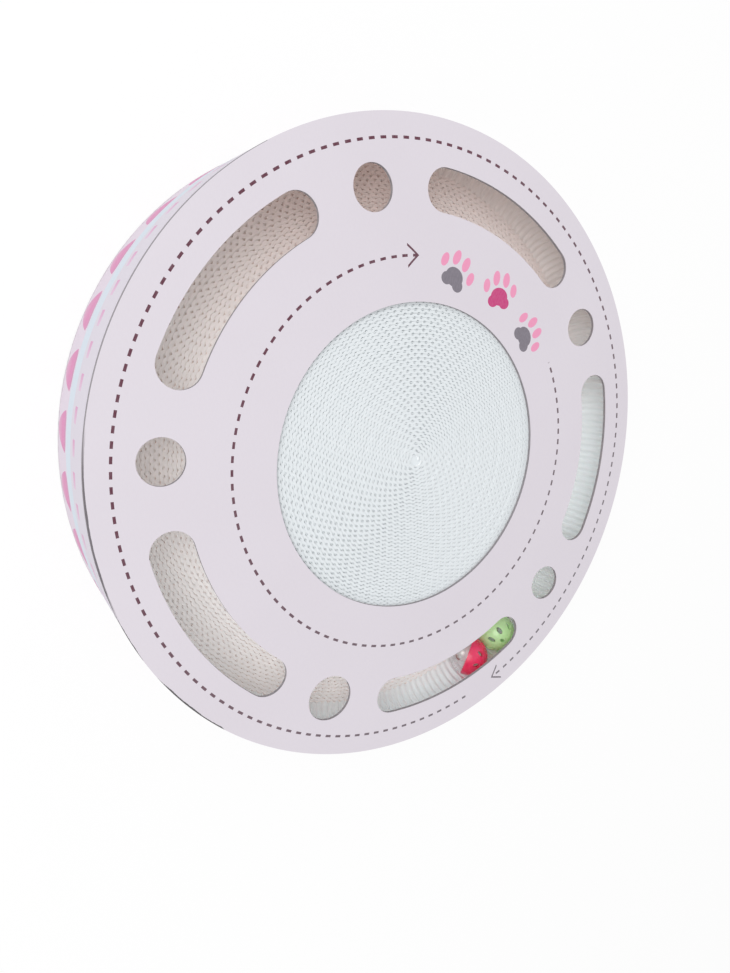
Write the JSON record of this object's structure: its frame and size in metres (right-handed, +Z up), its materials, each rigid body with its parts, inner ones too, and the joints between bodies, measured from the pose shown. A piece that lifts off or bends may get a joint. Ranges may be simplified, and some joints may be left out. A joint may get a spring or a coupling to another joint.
{
  "type": "cat scratcher",
  "caption": "Round flat cardboard scratching drum with a wound corrugated pad in the middle and a covered, slotted ring track in which rattle balls roll.",
  "frame": {"origin": "middle of the underside of the base panel", "axes": "+Z up, out of the printed face; +X through the middle of one curved slot"},
  "size_m": [0.4, 0.4, 0.08],
  "materials": {
    "printed_board": "matt white-lined board with a pale lilac print",
    "printed_paper": "matt paper with a pink print",
    "kraft_board": "plain board",
    "white_corrugated": "white single-faced corrugated strip",
    "red_plastic": "moulded, glossy",
    "green_plastic": "moulded, glossy",
    "pale_plastic": "moulded, glossy, slightly clear",
    "bell_metal": "plated pressed steel"
  },
  "bodies": {
    "scratcher": {"top_panel": "printed_board", "base_panel": "kraft_board", "outer_wall": "kraft_board", "side_wrap": "printed_paper", "wall_lining": "white_corrugated", "pad_coil": "white_corrugated", "floor_coil": "white_corrugated"},
    "red_bell": {"red_bell_cap": "bell_metal", "red_bell_cup": "bell_metal"},
    "red_ball": {"red_half": "red_plastic", "red_ball_pale_half": "pale_plastic"},
    "red_pellet": {"red_bell_pellet": "bell_metal"},
    "green_bell": {"green_bell_cap": "bell_metal", "green_bell_cup": "bell_metal"},
    "green_ball": {"green_half": "green_plastic", "green_ball_pale_half": "pale_plastic"},
    "green_pellet": {"green_bell_pellet": "bell_metal"}
  },
  "joints": [
    {"name": "red_orbit", "type": "hinge", "parent": "scratcher", "child": "red_bell", "pos_m": [0, 0, 0.05755], "axis": [0, 0, 1], "range_deg": [-165, 0]},
    {"name": "red_roll", "type": "hinge", "parent": "red_bell", "child": "red_ball", "pos_m": [0.08395, -0.15691, 0.05755], "axis": [-0.4717, 0.8817, 0], "range_deg": [-1993, 2]},
    {"name": "red_rattle", "type": "slide", "parent": "red_bell", "child": "red_pellet", "axis": [0, 0, 1], "range_m": [0, 0.007]},
    {"name": "green_orbit", "type": "hinge", "parent": "scratcher", "child": "green_bell", "pos_m": [0, 0, 0.05755], "axis": [0, 0, 1], "range_deg": [0, 165]},
    {"name": "green_roll", "type": "hinge", "parent": "green_bell", "child": "green_ball", "pos_m": [0.10895, -0.1407, 0.05755], "axis": [-0.6123, 0.7907, 0], "range_deg": [-2, 1993]},
    {"name": "green_rattle", "type": "slide", "parent": "green_bell", "child": "green_pellet", "axis": [0, 0, 1], "range_m": [0, 0.007]}
  ],
  "couplings": [
    {"joint": "red_roll", "follows": "red_orbit", "ratio": 12.064},
    {"joint": "green_roll", "follows": "green_orbit", "ratio": 12.064}
  ]
}
